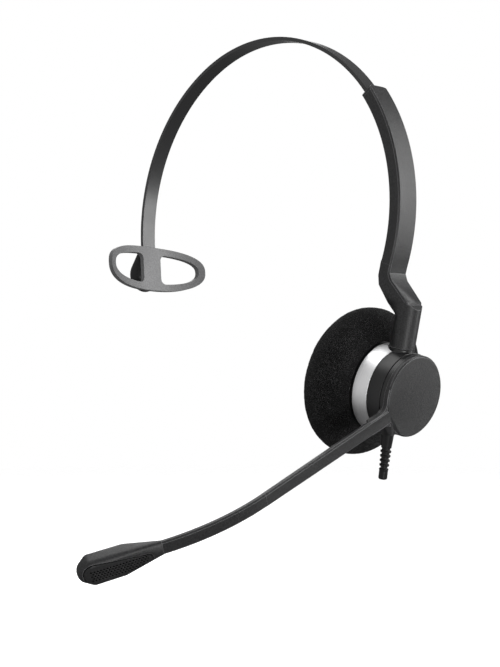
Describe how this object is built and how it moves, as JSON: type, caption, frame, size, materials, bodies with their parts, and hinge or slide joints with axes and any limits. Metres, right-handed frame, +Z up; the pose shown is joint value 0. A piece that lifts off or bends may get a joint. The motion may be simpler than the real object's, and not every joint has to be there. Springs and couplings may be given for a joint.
{
  "type": "office headset",
  "caption": "Office headset with one earphone: sprung headband with a temple pad, sliding arm, swivelling foam earphone and a curved microphone boom that turns about the earphone.",
  "frame": {"origin": "centre of the headband's arc, where the middle of the wearer's head sits", "axes": "+Z up, +X towards the earphone, -Y the way the wearer faces and the boom points"},
  "size_m": [0.145, 0.1424, 0.1858],
  "materials": {
    "spring_steel": "grey coated spring steel, satin",
    "pad_rubber": "mid-grey soft rubber, matte",
    "holder_plastic": "black, satin",
    "rivet_steel": "turned",
    "inner_plastic": "black, moulded",
    "grey_plastic": "dark grey, finely speckled",
    "dark_plastic": "near-black, fine grain",
    "screw_steel": "zinc plated",
    "leaf_steel": "rolled spring steel",
    "black_plastic": "black, smooth",
    "bush_brass": "turned",
    "satin_ring": "satin, turned",
    "cloth": "thin woven cloth",
    "basket_steel": "pressed tinplate",
    "magnet_steel": "dark, ground",
    "coil_copper": "enamelled copper wire",
    "cone_film": "clear film",
    "board": "green circuit board",
    "lead_skin": "red insulation",
    "foam": "black open-cell foam",
    "washer_plastic": "natural white",
    "relief_rubber": "black moulded rubber",
    "mic_plastic": "dark grey, satin",
    "boot_rubber": "soft black",
    "wire_skin": "black insulation"
  },
  "bodies": {
    "headband": {"spring_band": "spring_steel", "temple_pad": "pad_rubber", "band_holder": "holder_plastic", "holder_rivets": "rivet_steel", "band_stop": "inner_plastic", "stop_rivet": "rivet_steel"},
    "arm": {"arm_shell": "grey_plastic", "arm_cover": "dark_plastic", "arm_screws": "screw_steel", "grip_spring": "leaf_steel", "swivel_pin": "rivet_steel"},
    "earphone": {"ear_housing": "black_plastic", "swivel_bush": "bush_brass", "trim_ring": "satin_ring", "speaker_cup": "black_plastic", "cup_screws": "screw_steel", "speaker_plate": "inner_plastic", "acoustic_cloth": "cloth", "speaker_basket": "basket_steel", "speaker_magnet": "magnet_steel", "voice_coil": "coil_copper", "speaker_cone": "cone_film", "junction_board": "board", "speaker_leads": "lead_skin", "ear_cushion": "foam", "hub_tube": "bush_brass", "hub_washer": "washer_plastic", "hub_clip": "leaf_steel"},
    "boom": {"boom_shell": "grey_plastic", "boom_cover": "black_plastic", "cover_screws": "screw_steel", "cord_anchor": "leaf_steel", "strain_relief": "relief_rubber", "mic_cover": "mic_plastic", "mic_foam": "foam", "mic_boot": "boot_rubber", "mic_cartridge": "basket_steel", "boom_wire": "wire_skin"}
  },
  "joints": [
    {"name": "headband_slide", "type": "hinge", "parent": "headband", "child": "arm", "pos_m": [0, 0, 0], "axis": [0, 1, 0], "range_deg": [-15, 17]},
    {"name": "earphone_swivel", "type": "hinge", "parent": "arm", "child": "earphone", "pos_m": [0.06032, 0, -0.0649], "axis": [0.2198, 0, 0.9755], "range_deg": [-35, 35]},
    {"name": "boom_turn", "type": "hinge", "parent": "earphone", "child": "boom", "pos_m": [0.0692, 0, -0.0669], "axis": [0.9755, 0, -0.2198], "continuous": true}
  ]
}
